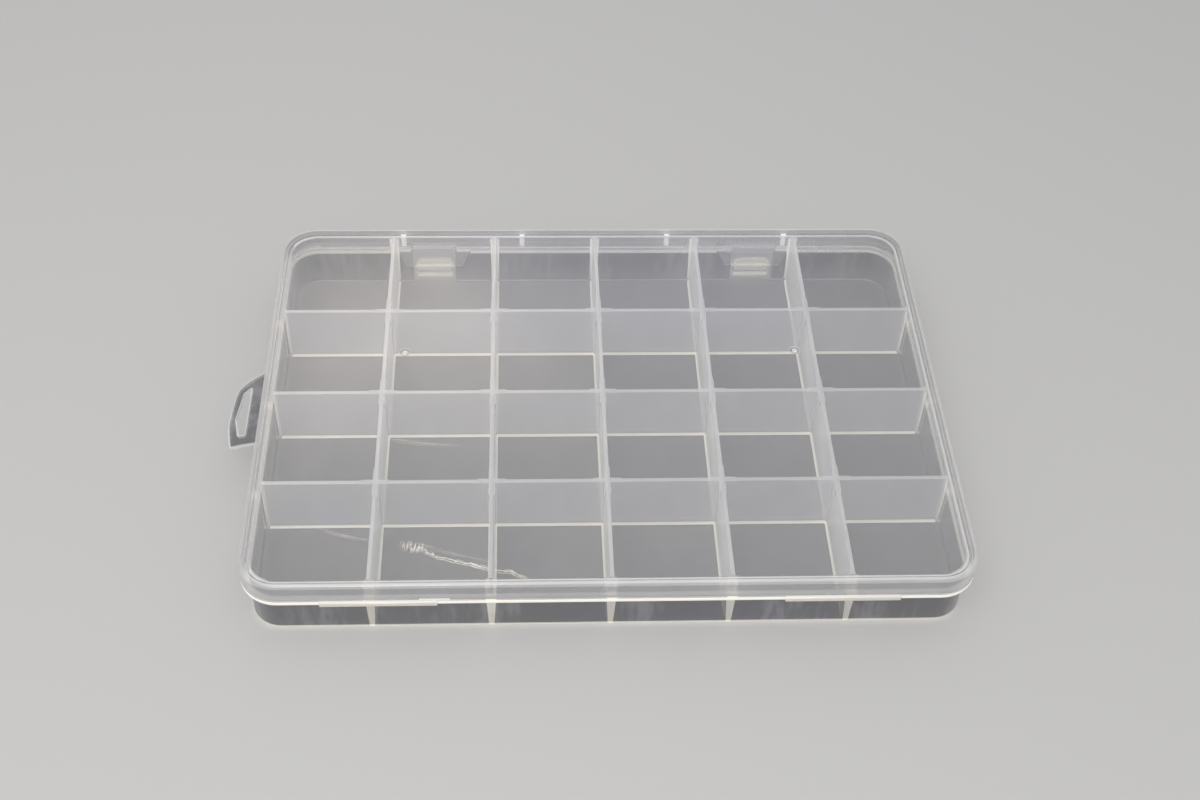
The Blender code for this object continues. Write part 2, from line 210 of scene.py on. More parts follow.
def edit(piece, kind, test):
    """Opens the piece in edit mode, with only those points, edges or faces selected that pass the test."""
    make_active(piece)
    bpy.ops.object.mode_set(mode="EDIT")
    bpy.ops.mesh.select_mode(type=kind)
    bpy.ops.mesh.select_all(action="DESELECT")
    shell = bmesh.from_edit_mesh(piece.data)
    items = {"VERT": shell.verts, "EDGE": shell.edges, "FACE": shell.faces}[kind]
    found = [item for item in items if test(item)]
    if not found:
        raise RuntimeError(piece.name + " has nothing of that kind to select")
    for item in found:
        item.select_set(True)
    shell.select_flush_mode()
    bmesh.update_edit_mesh(piece.data)


def change(piece, kind, test, step, **settings):
    """Runs one edit-mode operator on what passes the test."""
    edit(piece, kind, test)
    step(**settings)
    bpy.ops.object.mode_set(mode="OBJECT")


def everything(item):
    return True


def is_upright(edge):
    run = edge.verts[0].co - edge.verts[1].co
    return abs(run.z) > NEAR and run.xy.length < NEAR


def level_at(z):
    return lambda edge: all(abs(vert.co.z - z) < NEAR for vert in edge.verts)


def past(y, way=1):
    """A test for edges that lie beyond a place on the Y axis, or short of it."""
    return lambda edge: all((vert.co.y - y) * way > 0 for vert in edge.verts)


def is_sharp(edge, least=1.2):
    """Whether an edge's faces meet at more than that angle, in radians."""
    return edge.calc_face_angle(0) > least


def is_sharp_across(edge):
    """Whether an edge is sharp and runs at right angles to the X axis."""
    return is_sharp(edge) and abs(edge.verts[0].co.x - edge.verts[1].co.x) < NEAR


def facing(direction, least=0.99):
    """A test for faces that point that way."""
    direction = Vector(direction)
    return lambda face: face.normal.dot(direction) > least


def bevel(piece, test, radius, steps):
    shape = {"offset_type": "OFFSET", "profile": 0.5, "affect": "EDGES"}
    change(piece, "EDGE", test, bpy.ops.mesh.bevel, offset=radius, segments=steps, **shape)


def extrude_faces(piece, test, offset):
    move = {"value": offset}
    change(piece, "FACE", test, bpy.ops.mesh.extrude_region_move, TRANSFORM_OT_translate=move)


def resize_points(piece, test, scale, centre):
    change(piece, "VERT", test, bpy.ops.transform.resize, value=scale, center_override=centre)


def resize_level(piece, z, scale, centre):
    resize_points(piece, lambda vert: abs(vert.co.z - z) < NEAR, scale, centre)


def combine(piece, operation, tool):
    """Joins the tool to the piece or cuts it out, and removes the tool."""
    make_active(piece)
    modifier = piece.modifiers.new(operation.title(), "BOOLEAN")
    modifier.operation = operation
    modifier.solver = "EXACT"
    modifier.object = tool
    bpy.ops.object.modifier_apply(modifier=modifier.name)
    bpy.data.objects.remove(tool, do_unlink=True)


def gather(tools):
    """Makes several separate tools one."""
    make_active(tools[0])
    for tool in tools[1:]:
        tool.select_set(True)
    bpy.ops.object.join()
    return tools[0]


def copy_to(piece, name, offset, flip=(1, 1, 1)):
    """A copy with its own mesh, flipped about the origin if asked, then moved."""
    make_active(piece)
    bpy.ops.object.duplicate(linked=False)
    twin = bpy.context.active_object
    twin.name = twin.data.name = name
    twin.scale = flip
    twin.location = offset
    apply_place(twin)
    if flip[0] * flip[1] * flip[2] < 0:
        turn_outwards(twin)
    return twin


def turn_outwards(piece):
    change(piece, "FACE", everything, bpy.ops.mesh.normals_make_consistent, inside=False)


def smooth(piece, degrees=32):
    make_active(piece)
    bpy.ops.object.shade_smooth_by_angle(angle=math.radians(degrees))


def tidy_mesh(piece):
    change(piece, "VERT", everything, bpy.ops.mesh.remove_doubles, threshold=NEAR / 2)


def paint_plastic(piece, rule):
    """Writes how each face looks, as three shares that the rule gives: its milk, its veil and its darkness.

    Milk is bright and hides what lies behind, as a thick edge does. A veil only hides what lies behind. The
    darkness is painted shade: it darkens the face's colour where little light falls on it.
    """
    plastic = piece.data.attributes.new("plastic", "FLOAT_VECTOR", "FACE")
    values = [share for face in piece.data.polygons for share in rule(face.center, face.normal)]
    plastic.data.foreach_set("vector", values)


def dress(piece, material, body, slot, *nodes):
    """Gives the piece its finish, its body, and the CAD nodes that it stands for."""
    piece.data.materials.clear()
    piece.data.materials.append(material)
    if body:
        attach(piece, body)
    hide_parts(*nodes)


class Value:
    """What a node puts out. A formula with such values adds the nodes that work it out."""

    def __init__(self, node, name=0):
        self.socket = node.outputs[name]

    def add(self, kind, plugs, name=0, **settings):
        """What a new node in the same tree puts out."""
        return Value(add_node(self.socket.id_data, kind, plugs, **settings), name)

    def math(self, operation, *others):
        return self.add("Math", dict(enumerate((self, *others))), operation=operation)

    def __add__(self, other):
        return self.math("ADD", other)

    def __sub__(self, other):
        return self.math("SUBTRACT", other)

    def __rsub__(self, other):
        return self.add("Math", {0: other, 1: self}, operation="SUBTRACT")

    def __mul__(self, other):
        return self.math("MULTIPLY", other)

    def __truediv__(self, other):
        return self.math("DIVIDE", other)

    def __abs__(self):
        return self.math("ABSOLUTE")

    def most(self, other):
        return self.math("MAXIMUM", other)

    def axes(self):
        node = add_node(self.socket.id_data, "SeparateXYZ", {"Vector": self})
        return [Value(node, axis) for axis in "XYZ"]

    def ramp(self, low, high, out_low=0.0, out_high=1.0):
        """A smooth step between two limits."""
        plugs = {"Value": self, "From Min": low, "From Max": high, "To Min": out_low, "To Max": out_high}
        return self.add("MapRange", plugs, "Result", interpolation_type="SMOOTHSTEP")

    def blend(self, first, second):
        """A colour between two others, with this value as the second one's share."""
        return self.add("Mix", {0: self, 6: first, 7: second}, 2, data_type="RGBA")

    def noise(self, scale, detail):
        return self.add("TexNoise", {"Vector": self, "Scale": scale, "Detail": detail})

    def stretch(self, scale, turn=(0, 0, 0)):
        return self.add("Mapping", {"Vector": self, "Rotation": turn, "Scale": scale})

    def group(self, name, plugs, output=0):
        """What a shared group puts out at this place."""
        return self.add("Group", {"Place": self, **plugs}, output, node_tree=bpy.data.node_groups[name])


def wire(node, plugs):
    """Sets a node's inputs: what another node puts out is linked, anything else is set."""
    for name, value in plugs.items():
        if isinstance(value, Value):
            node.id_data.links.new(value.socket, node.inputs[name])
        else:
            node.inputs[name].default_value = value


def add_node(tree, kind, plugs=None, **settings):
    node = tree.nodes.new("ShaderNode" + kind)
    for name, value in settings.items():
        setattr(node, name, value)
    wire(node, plugs or {})
    return node


def new_group(name, inputs, outputs):
    """An empty node group with its sockets: what it is given, by name, and its own output node."""
    group = bpy.data.node_groups.new(name, "ShaderNodeTree")
    for socket, default in inputs.items():
        kind = "NodeSocketVector" if isinstance(default, tuple) else "NodeSocketFloat"
        group.interface.new_socket(socket, in_out="INPUT", socket_type=kind).default_value = default
    for socket in outputs:
        group.interface.new_socket(socket, in_out="OUTPUT", socket_type="NodeSocketFloat")
    source = group.nodes.new("NodeGroupInput")
    return {socket: Value(source, socket) for socket in inputs}, group.nodes.new("NodeGroupOutput")


def make_cloud_group():
    """Soft clouds of haze in the plastic, of two sizes, which may be stretched."""
    given, result = new_group(
        "plastic clouds", {"Place": (0, 0, 0), "Stretch": (1, 1, 1), "Size": 60.0, "Contrast": 1.0}, ["Cloud"]
    )
    stretched = given["Place"].stretch(given["Stretch"])
    broad = stretched.noise(given["Size"], 3.0)
    fine = stretched.noise(given["Size"] * 5.0, 4.0)
    both = fine * 0.35 + broad * 0.65
    wire(result, {"Cloud": (both - 0.5) * given["Contrast"] + 0.5})


def make_streak_group():
    """One brushed streak, such as plastic leaves where it flows round a corner of the mould."""
    sockets = {
        "Place": (0, 0, 0), "Centre": (0, 0, 0), "Turn": (0, 0, 0), "Half Length": 0.01, "Half Width": 0.001,
        "Break Up": 0.5, "Hairs": (120.0, 2600.0, 120.0),
    }
    given, result = new_group("flow streak", sockets, ["Streak"])
    place = given["Place"].add("VectorMath", {0: given["Place"], 1: given["Centre"]}, operation="SUBTRACT")
    place = place.add("VectorRotate", {"Vector": place, "Rotation": given["Turn"]}, rotation_type="EULER_XYZ")
    x, y, _ = place.axes()
    along = abs(x) / given["Half Length"]
    wander = (place.noise(520.0, 2.0) - 0.5) * 0.0016
    across = abs(wander + y) / given["Half Width"]
    body = along.ramp(1.0, 0.55) * across.ramp(1.0, 0.1)
    hairs = place.stretch(given["Hairs"]).noise(1.0, 3.0)
    wire(result, {"Streak": body * hairs.ramp(given["Break Up"], given["Break Up"] + 0.12)})


def make_outline_group():
    """How far a place lies beyond a rounded outline about the origin, seen from above; negative within it."""
    given, result = new_group(
        "outline distance", {"Place": (0, 0, 0), "Half": (0.1, 0.1, 0), "Radius": 0.01}, ["Distance"]
    )
    x, y, _ = given["Place"].axes()
    half_x, half_y, _ = given["Half"].axes()
    x = abs(x) - (half_x - given["Radius"])
    y = abs(y) - (half_y - given["Radius"])
    square = x.most(0.0).math("POWER", 2.0) + y.most(0.0).math("POWER", 2.0)
    flat_part = x.most(y).math("MINIMUM", 0.0)
    wire(result, {"Distance": square.math("SQRT") + flat_part - given["Radius"]})


def make_handling_group():
    """The slow waves of a moulded sheet and, on level faces, fine scratches, as a roughness and a height."""
    given, result = new_group(
        "moulded surface", {"Place": (0, 0, 0), "Roughness": 0.3}, ["Roughness", "Height"]
    )
    place = given["Place"]
    wave = place.noise(90.0, 1.0)
    facing = place.add("NewGeometry", {}, "True Normal").axes()[2]
    scratch = place.stretch((160.0, 3800.0, 160.0), (0, 0, 0.6)).noise(1.0, 2.0)
    scratch = scratch.ramp(0.64, 0.78) * abs(facing).ramp(0.80, 0.95)
    roughness = scratch * 0.12 + wave * 0.08 + given["Roughness"]
    wire(result, {"Roughness": roughness, "Height": wave - scratch * 0.03})


def clear_plastic(name, cloud_size, cloud_stretch, streaks=(), floor_z=None, tint=None, glow=0.25, gloss=1.0):
    """Clear polypropylene: see-through where it is thin, milky where it is painted as thick.

    The tray gives the height of its floor, and its thickness then also depends on the place in it.
    """
    look = bpy.context.scene.storage_box_look
    wall_colour = (*(tint or look.wall_colour), 1.0)
    panel_colour, cream_colour, milky_colour, painted_shade_colour = (
        (*colour, 1.0)
        for colour in (look.panel_colour, look.cream_colour, look.milky_colour, look.painted_shade_colour)
    )
    material = bpy.data.materials.new(name)
    material.use_nodes = True
    tree = material.node_tree
    place = Value(add_node(tree, "TexCoord"), "Object")
    z = place.axes()[2]
    behind = place.add("NewGeometry", {}, "Backfacing")
    painted = place.add("Attribute", {}, "Vector", attribute_name="plastic", attribute_type="GEOMETRY")
    milk, veil, painted_shade = painted.axes()

    # Haze comes on top of the milk: clouds, flow marks, dividers that run into a wall, faces seen edge on
    clouds = {"Stretch": cloud_stretch, "Size": cloud_size, "Contrast": 1.6}
    haze = place.group("plastic clouds", clouds) * 0.10 - 0.03
    thick_spots = []
    for strength, plugs in streaks:
        streak = place.group("flow streak", plugs)
        haze = streak * strength + haze
        thick_spots.append(streak)
    if floor_z is not None:
        milk, veil, walls = tray_thickness(place, behind, milk, veil)
        haze = haze + walls
        thick_spots.append(walls)
    # Veiled faces seen from behind get a little more haze: painted light, as the inner side of the skirt
    # looks paler
    haze = behind * veil * 0.09 + haze
    facing = place.add("LayerWeight", {"Blend": 0.5}, "Facing")
    haze = facing.ramp(0.40, 0.95) * (milk * 0.50 + 0.10) + haze
    milkiness = milk.add("Math", {0: milk, 1: haze}, operation="ADD", use_clamp=True)

    # Thick places low in the box look creamy, the others milky
    creamy = milk.ramp(0.55, 0.75)
    for spot in thick_spots:
        creamy = creamy.most(spot.ramp(0.15, 0.30))
    creamy = creamy * z.ramp(CREAM_HIGH, CREAM_HIGH - 0.002)
    thin = milkiness.ramp(0.0, 0.3).blend(panel_colour, creamy.blend(wall_colour, cream_colour))
    shade = milkiness.ramp(0.25, 0.8).blend(thin, creamy.blend(milky_colour, cream_colour))
    # Painted shade: the darkness share, broken up by streaky clouds and taken off where the plastic is milky
    flow = place.group("plastic clouds", {"Stretch": (1, 1, 0.22), "Size": 110.0, "Contrast": 2.2})
    painted_shade = painted_shade * flow.ramp(0.42, 0.80, 1.0, 0.45) * milkiness.ramp(0.15, 0.50, 1.0, 0.0)
    shadow_share = look.wall_shade
    if floor_z is not None:
        # Near the floor, on faces seen from behind, the painted shade is lighter
        painted_shade = painted_shade * (1.0 - z.ramp(floor_z + 0.009, floor_z) * behind * 0.45)
        shadow_share = z.ramp(floor_z, floor_z + BITE, 1.4, look.wall_shade)
    shade = painted_shade.blend(shade, painted_shade_colour)

    span = {"Value": milkiness, "To Min": look.panel_alpha, "To Max": look.milky_alpha}
    alpha = milkiness.add("MapRange", span, "Result").most(veil)
    in_shadow = place.add("LightPath", {}, "Is Shadow Ray")
    alpha = alpha * in_shadow.add("Mix", {0: in_shadow, 2: 1.0, 3: shadow_share}, data_type="FLOAT")
    surface = {"Roughness": look.roughness / gloss}
    height = place.group("moulded surface", surface, "Height")
    # Milky places glow: painted light, standing in for light carried along inside the plastic
    wire(tree.nodes["Principled BSDF"], {
        "Base Color": shade,
        "Alpha": alpha,
        "Roughness": place.group("moulded surface", surface, "Roughness"),
        "Normal": height.add("Bump", {"Height": height, "Strength": 0.12, "Distance": 0.0004}),
        "IOR": 1.49,
        "Specular IOR Level": 0.5 * gloss,
        "Emission Color": milkiness.ramp(0.60, 1.0).blend((0.0, 0.0, 0.0, 1.0), shade),
        "Emission Strength": glow,
    })
    return material


def tray_thickness(place, behind, milk, veil):
    """The tray's milk and veil as seen from either side, and the milk where a divider or the ledge begins."""
    sizes = bpy.context.scene.storage_box_sizes
    half, radius = inner_outline()
    low, top = ledge_span()
    x, y, z = place.axes()
    beyond = place.group("outline distance", {"Half": (half.x, half.y, 0), "Radius": radius})
    wall = beyond.ramp(-0.0005, -0.0001)
    outside = beyond.ramp(sizes.tray_wall * 0.3, sizes.tray_wall * 0.6)
    below_rim = z.ramp(TRAY_HIGH.z - BITE, TRAY_HIGH.z - 2 * BITE)

    # The dividers run into the wall and widen upwards
    reach = z * 0.055 + 0.00055
    roots = []
    for across, last, divider in ((x, half.x, "column_divider_1"), (y, half.y, "row_divider_1")):
        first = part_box(divider)[1]
        half_pitch = ((first.x if across is x else first.y) + last) / 2
        near = across.math("PINGPONG", half_pitch).ramp(reach + 0.0002, reach)
        roots.append(near * abs(across).math("LESS_THAN", last - half_pitch))
    total = roots[0].most(roots[1]) * wall * below_rim * ROOT_HAZE

    # Above the ledge the wall is hazier, most of all along its rim, and a little paler at the far right
    upper = z.ramp(low - BITE, low) * wall * below_rim
    sides = abs(x).ramp(half.x - 0.001, half.x, 1.0, 0.78)
    left = x.ramp(-half.x + BITE, -half.x)
    latch_side = y.ramp(half.y - BITE, half.y)
    brim = z.ramp(TRAY_HIGH.z - BRIM_HEIGHT, TRAY_HIGH.z - BITE) * outside
    total = upper * (sides * UPPER_HAZE + x.ramp(-0.02, 0.06) * latch_side * FAR_HAZE) + total
    total = brim * (BRIM_HAZE - left * 0.16) + total
    rim_top = z.ramp(TRAY_HIGH.z - SOFT_EDGE, TRAY_HIGH.z - FINE_EDGE)
    front = y.ramp(-half.y + BITE, -half.y) * (1.0 - outside)
    milk = milk * (1.0 - rim_top * front.most(left * 0.6) * 0.8)

    # The ledge's two edges show through the wall as lines, which stop at the latches
    latch_low, latch_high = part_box("latch_right")
    aside = abs(abs(x) - (latch_low.x + latch_high.x) / 2)
    keeper = aside.math("LESS_THAN", KEEPER_REACH) * latch_side
    bare = 1.0 - aside.ramp(LINES_REACH, LINES_REACH - BITE) * latch_side
    for height, strength, stand_out in ((low - 0.0004, 0.78, 0.0007), (top, 1.0, 0.0)):
        sideways = beyond - (keeper * stand_out + sizes.tray_wall)
        away = sideways.math("POWER", 2.0) + (z - height).math("POWER", 2.0)
        line = (away.math("SQRT") * sides).ramp(LINE_EDGE, LINE_CORE) * behind * bare
        total = line * strength + total

    # From inside, the outer faces lose their milk and the wall behind a latch its veil
    shown = 1.0 - behind * outside
    foot = z.ramp(sizes.tray_floor + BITE, sizes.tray_floor) * outside * shown
    window = aside.ramp(WINDOW_REACH, WINDOW_REACH - 0.001) * latch_side
    return milk * shown, veil * (1.0 - window * 0.85), foot * FOOT_HAZE + total


def half_size(inset):
    """Half the length and width of an outline that far inside the lid's."""
    return Vector((LID_HIGH.x - inset, LID_HIGH.y - inset))


def inner_outline():
    """Half the tray's inside along X and Y, and its corner radius."""
    sizes = bpy.context.scene.storage_box_sizes
    inset = sizes.tray_inset + sizes.tray_wall
    return half_size(inset), sizes.corner_radius - inset


def ledge_span():
    sizes = bpy.context.scene.storage_box_sizes
    top = LID_LOW.z - sizes.ledge_gap
    return top - sizes.ledge, top


def tapered_bar(name, middle, top_width, low_width, y_span, z_span):
    """A bar whose width along X changes from its foot to its top."""
    full = max(top_width, low_width)
    piece = bar(name, middle, full, y_span, z_span)
    for z, width in zip(z_span, (low_width, top_width)):
        resize_level(piece, z, (width / full, 1, 1), Vector((middle, 0, 0)))
    return piece


def make_cell_cutter(name, low, high, outer_corner):
    """The hollow of one cell at the origin's place: filleted corners and foot, flared a little at the top."""
    sizes = bpy.context.scene.storage_box_sizes
    cutter = block(name, low, high)

    def is_outer(edge):
        return is_upright(edge) and edge.verts[0].co.x < low[0] + NEAR and edge.verts[0].co.y < low[1] + NEAR

    if outer_corner:
        bevel(cutter, is_outer, outer_corner, 10)
        wide = outer_corner + NEAR

        def is_inner(edge):
            place = edge.verts[0].co
            away = (place.x - low[0] > wide) or (place.y - low[1] > wide)
            on_divider = abs(place.x - high[0]) < NEAR or abs(place.y - high[1]) < NEAR
            return is_upright(edge) and away and on_divider

        bevel(cutter, is_inner, sizes.cell_corner, 4)
    else:
        bevel(cutter, is_upright, sizes.cell_corner, 4)
    bevel(cutter, level_at(low[2]), sizes.cell_foot, 3)
    rise = sizes.top_chamfer + BITE
    extrude_faces(cutter, facing((0, 0, 1)), (0, 0, rise))
    middle = Vector(((low[0] + high[0]) / 2, (low[1] + high[1]) / 2, high[2] + rise))
    flare = (1 + 2 * rise / (high[0] - low[0]), 1 + 2 * rise / (high[1] - low[1]), 1)
    resize_level(cutter, middle.z, flare, middle)
    return cutter


def make_cell_cutters():
    """All cells' hollows as one tool: an inner and a corner cell are modelled, the others are copies."""
    sizes = bpy.context.scene.storage_box_sizes
    half, radius = inner_outline()
    first_column, first_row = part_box("column_divider_1"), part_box("row_divider_1")
    cell = Vector((first_column[0].x + half.x, first_row[0].y + half.y))
    pitch = Vector((first_column[1].x + half.x, first_row[1].y + half.y))
    low = Vector((-half.x, -half.y, sizes.tray_floor))
    high = Vector((-half.x + cell.x, -half.y + cell.y, TRAY_HIGH.z - sizes.top_chamfer))
    columns, rows = len(COLUMN_DIVIDERS) + 1, len(ROW_DIVIDERS) + 1
    plain = make_cell_cutter("cell", low, high, 0)
    corner = make_cell_cutter("corner_cell", low, high, radius)
    cutters = [corner]
    for flip in ((-1, 1, 1), (1, -1, 1), (-1, -1, 1)):
        cutters.append(copy_to(corner, "corner_cell", (0, 0, 0), flip))
    for column in range(columns):
        for row in range(rows):
            if column in (0, columns - 1) and row in (0, rows - 1):
                continue
            cutters.append(copy_to(plain, "cell", (column * pitch.x, row * pitch.y, 0)))
    bpy.data.objects.remove(plain, do_unlink=True)
    return gather(cutters)


def is_arm_end(face, way):
    """Whether a face points that way and lies straight out from the middle."""
    middle = face.calc_center_median()
    sideways = middle.xy - Vector(way).xy * middle.dot(way)
    return face.normal.dot(way) > 0.99 and sideways.length < NEAR


def make_crossing_pads():
    """The thicker pads where the dividers cross, as one tool: one is modelled, the others are copies."""
    sizes = bpy.context.scene.storage_box_sizes
    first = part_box("column_divider_1")
    half = (first[1].x - first[0].x) / 2 + sizes.pad_step
    top = TRAY_HIGH.z + sizes.pad_step / 3
    cross = block("crossing_pad", (-half, -half, top - sizes.pad_depth), (half, half, top))
    for direction, reach in (((1, 0, 0), sizes.pad_reach_x), ((0, 1, 0), sizes.pad_reach_y)):
        for way in (Vector(direction), -Vector(direction)):
            extrude_faces(cross, lambda face, way=way: is_arm_end(face, way), way * (reach - half))
    bevel(cross, level_at(top), sizes.top_chamfer, 2)
    pads = []
    for column in COLUMN_DIVIDERS:
        for row in ROW_DIVIDERS:
            column_box, row_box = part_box(column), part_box(row)
            middle = ((column_box[0].x + column_box[1].x) / 2, (row_box[0].y + row_box[1].y) / 2, 0)
            pads.append(copy_to(cross, "crossing_pad", middle))
    bpy.data.objects.remove(cross, do_unlink=True)
    return gather(pads)


def tray_rule():
    """How each face of the tray looks, by its place and the way it points."""
    sizes = bpy.context.scene.storage_box_sizes
    low, top = ledge_span()
    half, corner = inner_outline()
    outer = half_size(sizes.tray_inset)
    slack = Vector((BITE, BITE))

    def outside_rule(place, level):
        """Keepers and ledge."""
        # The keepers and the ledge's level faces are darkened with painted shade
        if place.z < low - BITE:
            return 0.05, 0.55, 0.45
        return (0.05, 0.75, 0.30) if level > 0.9 else (1.0, 0.0, 0.0)

    def wall_rule(place, normal, level):
        """The wall's two sides and the fillets along its inside."""
        on_outside = not inside_wall(place, half + slack, corner + BITE)
        # Outside, below the ledge, the wall is darkened with painted shade, less where it turns sideways
        if on_outside and level < 0.05 and place.z < low:
            return 0.0, 0.80 - 0.20 * normal.x ** 2, 0.64 - 0.40 * normal.x ** 2
        in_corner = abs(place.x) > half.x - corner and abs(place.y) > half.y - corner
        turned = min(abs(normal.x), abs(normal.y)) > 0.1
        if level < 0.05 and turned and not (on_outside or in_corner):
            return 0.60, 0.0, 0.0
        return (0.06 if 0.05 < level < 0.98 else 0.02), 0.0, 0.0

    def divider_rule(place, normal, level):
        """Fillets, faces along the rows and the columns, and tops."""
        if 0.05 < level < 0.98:
            return 0.80, 0.0, 0.0
        if level < 0.05:
            return (0.36 if abs(normal.y) > 0.999 else 0.51), 0.0, 0.0
        return (0.60 if normal.z > 0.98 and place.z > TRAY_HIGH.z / 2 else 0.0), 0.0, 0.0

    def rule(place, normal):
        level = abs(normal.z)
        if not inside_wall(place, outer, corner + sizes.tray_wall):
            return outside_rule(place, level)
        if normal.z > 0.3 and place.z > TRAY_HIGH.z - BITE:
            on_rim = abs(place.x) > half.x or abs(place.y) > half.y
            return (0.22 if on_rim else 0.60), 0.0, 0.0
        if place.z < sizes.foot_radius and 0.05 < level < 0.98:
            return 0.55, 0.6, 0.0
        if not inside_wall(place, half - 2 * slack, corner - 2 * BITE):
            return wall_rule(place, normal, level)
        if place.z > sizes.tray_floor + NEAR:
            return divider_rule(place, normal, level)
        return 0.0, 0.0, 0.0

    return rule


def inside_wall(place, half, radius):
    """Whether a place lies within a rounded outline of that half size."""
    x, y = abs(place.x), abs(place.y)
    if x > half.x + NEAR or y > half.y + NEAR:
        return False
    corner = Vector((half.x - radius, half.y - radius))
    if x > corner.x and y > corner.y:
        return (Vector((x, y)) - corner).length < radius + NEAR
    return True


class STORAGEBOX_OT_finishes(Operator):
    """Makes the node groups that the clear plastics share"""

    bl_idname = "storagebox.finishes"
    bl_label = "Shared Finishes"

    def execute(self, context):
        make_cloud_group()
        make_streak_group()
        make_outline_group()
        make_handling_group()
        return {"FINISHED"}


class STORAGEBOX_OT_tray(Operator):
    """Models the tray as one moulding: floor, wall, ledge, keepers, dividers and the pads where they cross"""

    bl_idname = "storagebox.tray"
    bl_label = "Tray with Dividers"

    NOTCH_Y = 0.0702
    KEEPER_Y = 0.0701
    KEEPER_LOW_Z = 0.0062
    # At its top and at its foot
    KEEPER_WIDTHS = (0.0228, 0.0178)
    LONG_HAIRS = (260.0, 1700.0, 120.0)
    # Brushed flow marks on the floor: start, end, half width, strength, how broken up, how fine the hairs
    MARKS = (
        ((-0.0572, -0.0423), (-0.0508, -0.0432), 0.0026, 0.95, 0.47, (1900.0, 260.0, 120.0)),
        ((-0.0525, -0.0426), (-0.0465, -0.0465), 0.0010, 0.85, 0.44, (900.0, 1300.0, 120.0)),
        ((-0.0470, -0.0463), (-0.0364, -0.0493), 0.0005, 1.0, 0.38, LONG_HAIRS),
        ((-0.0375, -0.0490), (-0.0326, -0.0506), 0.0006, 1.0, 0.38, LONG_HAIRS),
        ((-0.0304, -0.0514), (-0.0258, -0.0518), 0.0006, 0.8, 0.36, LONG_HAIRS),
        ((-0.0264, -0.0518), (-0.0214, -0.0549), 0.0006, 0.8, 0.36, LONG_HAIRS),
        ((-0.0520, -0.0419), (-0.0331, -0.0481), 0.0009, 0.40, 0.47, (120.0, 1900.0, 120.0)),
        ((-0.0792, -0.0364), (-0.0665, -0.0398), 0.0010, 0.40, 0.45, (120.0, 1500.0, 120.0)),
        ((-0.0615, -0.0021), (-0.0424, -0.0043), 0.0010, 0.40, 0.45, (120.0, 1500.0, 120.0)),
    )
    MARK_REACH_SHARE = 0.68

    def mark(self, floor_z, start, end, half_width, strength, break_up, hairs):
        """A flow mark from one place to another: its strength, and what the streak is given."""
        start, end = Vector((*start, floor_z)), Vector((*end, floor_z))
        run = end - start
        return strength, {
            "Centre": (start + end) / 2, "Turn": (0, 0, -math.atan2(run.y, run.x)),
            "Half Length": run.length * self.MARK_REACH_SHARE, "Half Width": half_width,
            "Break Up": break_up, "Hairs": hairs,
        }

    def execute(self, context):
        sizes = context.scene.storage_box_sizes
        half = half_size(sizes.tray_inset)
        tray = block("tray_moulding", (-half.x, -half.y, 0), (half.x, half.y, TRAY_HIGH.z))
        bevel(tray, is_upright, sizes.corner_radius - sizes.tray_inset, 12)
        bevel(tray, level_at(0), sizes.foot_radius, 4)
        bevel(tray, level_at(TRAY_HIGH.z), sizes.top_chamfer, 2)
        low, top = ledge_span()
        ledge = block("ledge", (LID_LOW.x, -LID_HIGH.y, low), (LID_HIGH.x, LID_HIGH.y, top))
        bevel(ledge, is_upright, sizes.corner_radius, 14)
        for z in (low, top):
            bevel(ledge, level_at(z), SOFT_EDGE, 2)
        combine(tray, "UNION", ledge)
        for side in SIDES:
            latch_low, latch_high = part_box("latch_" + side)
            middle = (latch_low.x + latch_high.x) / 2
            width = latch_high.x - latch_low.x + 2 * sizes.ledge_gap
            notch_y, notch_z = (self.NOTCH_Y, LID_HIGH.y + OVERRUN), (low - OVERRUN, top + OVERRUN)
            combine(tray, "DIFFERENCE", bar("notch", middle, width, notch_y, notch_z))
            keeper_y, keeper_z = (half.y - BITE, self.KEEPER_Y), (self.KEEPER_LOW_Z, low + BITE)
            keeper = tapered_bar("keeper", middle, *self.KEEPER_WIDTHS, keeper_y, keeper_z)
            on_face, hidden = past(self.KEEPER_Y - NEAR), level_at(low + BITE)
            bevel(keeper, lambda edge: on_face(edge) and not hidden(edge), SOFT_EDGE, 2)
            combine(tray, "UNION", keeper)
        combine(tray, "DIFFERENCE", make_cell_cutters())
        combine(tray, "UNION", make_crossing_pads())
        tidy_mesh(tray)
        smooth(tray)
        paint_plastic(tray, tray_rule())
        marks = [self.mark(sizes.tray_floor, *values) for values in self.MARKS]
        plastic = clear_plastic("tray_plastic", 45.0, (1.0, 1.0, 0.25), marks, floor_z=sizes.tray_floor)
        dress(tray, plastic, "base", "clear_shell", "base_tray", *COLUMN_DIVIDERS, *ROW_DIVIDERS)
        return {"FINISHED"}


